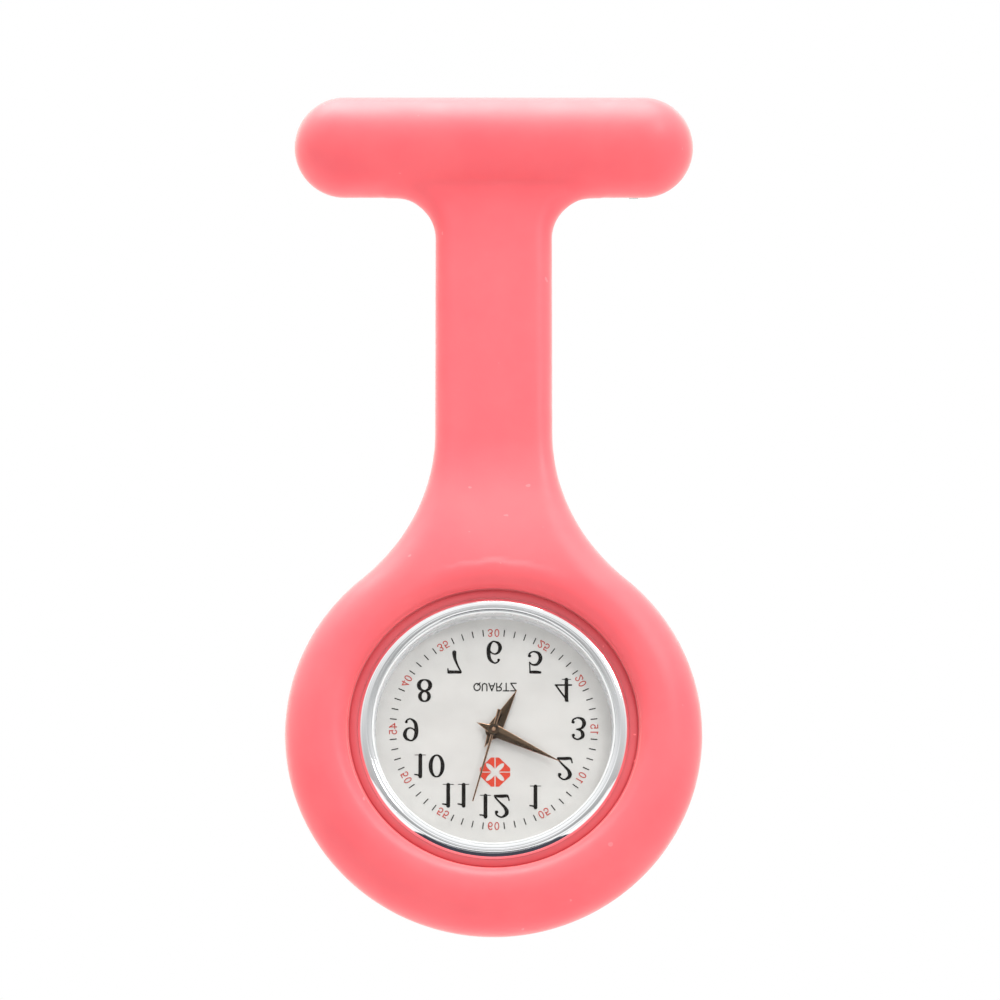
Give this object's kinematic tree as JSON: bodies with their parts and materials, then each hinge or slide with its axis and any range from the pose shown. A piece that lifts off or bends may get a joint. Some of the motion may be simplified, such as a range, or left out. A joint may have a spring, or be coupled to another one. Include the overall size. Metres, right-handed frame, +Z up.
{
  "type": "fob watch",
  "caption": "Nurse's fob watch: a round quartz watch head with an upside-down mirrored dial in a silicone holder that hangs from a bar with a brooch pin.",
  "frame": {"origin": "middle of the brooch needle, on its axis, behind the bar", "axes": "+Z up along the strap as the watch is worn, -Y out of the dial towards the viewer, +X to the viewer's right and along the needle to its tip"},
  "size_m": [0.0414, 0.0134, 0.0883],
  "materials": {
    "silicone": "matte moulded silicone, coral pink",
    "plated_steel": "bright nickel-plated pressed steel",
    "chrome": "polished chrome plate",
    "glass": "clear mineral glass",
    "seal": "white nylon seal",
    "black_seal": "black nitrile seal",
    "dial_print": "satin off-white lacquer with printed numerals",
    "spacer": "satin white",
    "bronze": "dark bronze lacquer with polished rose gold edges",
    "white_plastic": "white moulded plastic",
    "black_plastic": "black moulded plastic",
    "brass": "satin brass",
    "steel": "satin steel",
    "board": "green lacquered laminate",
    "copper": "enamelled copper wire",
    "magnet": "dark sintered magnet",
    "back_steel": "circular-brushed stainless steel"
  },
  "bodies": {
    "holder": {"silicone_holder": "silicone", "pin_plate": "plated_steel", "hinge_rivet": "plated_steel"},
    "needle": {"pin_needle": "plated_steel"},
    "catch": {"safety_catch": "plated_steel"},
    "watch_head": {"case": "chrome", "crystal": "glass", "crystal_gasket": "seal", "dial_spacer_ring": "spacer", "dial": "dial_print", "dial_washer": "brass", "movement_ring": "white_plastic", "main_plate": "black_plastic", "train_bridge": "steel", "bridge_screws": "steel", "circuit_board": "board", "chip": "black_plastic", "coil": "copper", "coil_core": "steel", "stator": "steel", "quartz_can": "steel", "battery": "steel", "battery_clip": "brass", "caseback": "back_steel", "caseback_gasket": "black_seal", "crown_tube": "steel"},
    "seconds": {"second_hand": "bronze", "fourth_wheel": "brass"},
    "minutes": {"minute_hand": "bronze", "cannon_pinion": "brass", "centre_wheel": "brass"},
    "hours": {"hour_hand": "bronze", "hour_wheel": "brass"},
    "minute_wheel": {"minute_wheel": "brass"},
    "third_wheel": {"third_wheel": "brass"},
    "fifth_wheel": {"fifth_wheel": "brass"},
    "rotor": {"rotor": "magnet"},
    "setting": {"setting_lever": "steel"},
    "crown": {"crown": "chrome", "stem": "steel", "crown_gasket": "black_seal"}
  },
  "joints": [
    {"name": "needle_swing", "type": "hinge", "parent": "holder", "child": "needle", "pos_m": [-0.0132, 0, 0], "axis": [0, 0, 1], "range_deg": [0, 70]},
    {"name": "catch_turn", "type": "hinge", "parent": "holder", "child": "catch", "pos_m": [0.0127, 0, 0], "axis": [1, 0, 0], "range_deg": [0, 100]},
    {"name": "head_release", "type": "slide", "parent": "holder", "child": "watch_head", "axis": [0, -1, 0], "range_m": [0, 0.009], "deforming": ["silicone_holder"]},
    {"name": "crown_pull", "type": "slide", "parent": "watch_head", "child": "setting", "axis": [1, 0, 0], "range_m": [0, 0.0008]},
    {"name": "crown_turn", "type": "hinge", "parent": "setting", "child": "crown", "pos_m": [0.012, -0.0066, -0.0625], "axis": [1, 0, 0], "continuous": true},
    {"name": "seconds_spin", "type": "hinge", "parent": "watch_head", "child": "seconds", "pos_m": [0, -0.0077, -0.0625], "axis": [0, -1, 0], "continuous": true},
    {"name": "minutes_spin", "type": "hinge", "parent": "watch_head", "child": "minutes", "pos_m": [0, -0.0077, -0.0625], "axis": [0, -1, 0], "continuous": true},
    {"name": "hours_spin", "type": "hinge", "parent": "watch_head", "child": "hours", "pos_m": [0, -0.0077, -0.0625], "axis": [0, -1, 0], "continuous": true},
    {"name": "minute_wheel_spin", "type": "hinge", "parent": "watch_head", "child": "minute_wheel", "pos_m": [0.0011, -0.0072, -0.06441], "axis": [0, -1, 0], "continuous": true},
    {"name": "third_wheel_spin", "type": "hinge", "parent": "watch_head", "child": "third_wheel", "pos_m": [-0.00245, -0.0057, -0.06364], "axis": [0, -1, 0], "continuous": true},
    {"name": "fifth_wheel_spin", "type": "hinge", "parent": "watch_head", "child": "fifth_wheel", "pos_m": [0.00207, -0.0057, -0.06424], "axis": [0, -1, 0], "continuous": true},
    {"name": "rotor_spin", "type": "hinge", "parent": "watch_head", "child": "rotor", "pos_m": [0.00384, -0.0057, -0.06506], "axis": [0, -1, 0], "continuous": true}
  ],
  "couplings": [
    {"joint": "third_wheel_spin", "follows": "seconds_spin", "ratio": -0.13333},
    {"joint": "minutes_spin", "follows": "seconds_spin", "ratio": 0.016667},
    {"joint": "minute_wheel_spin", "follows": "seconds_spin", "ratio": -0.0055556},
    {"joint": "hours_spin", "follows": "seconds_spin", "ratio": 0.0013889},
    {"joint": "fifth_wheel_spin", "follows": "seconds_spin", "ratio": -5},
    {"joint": "rotor_spin", "follows": "seconds_spin", "ratio": 30}
  ]
}
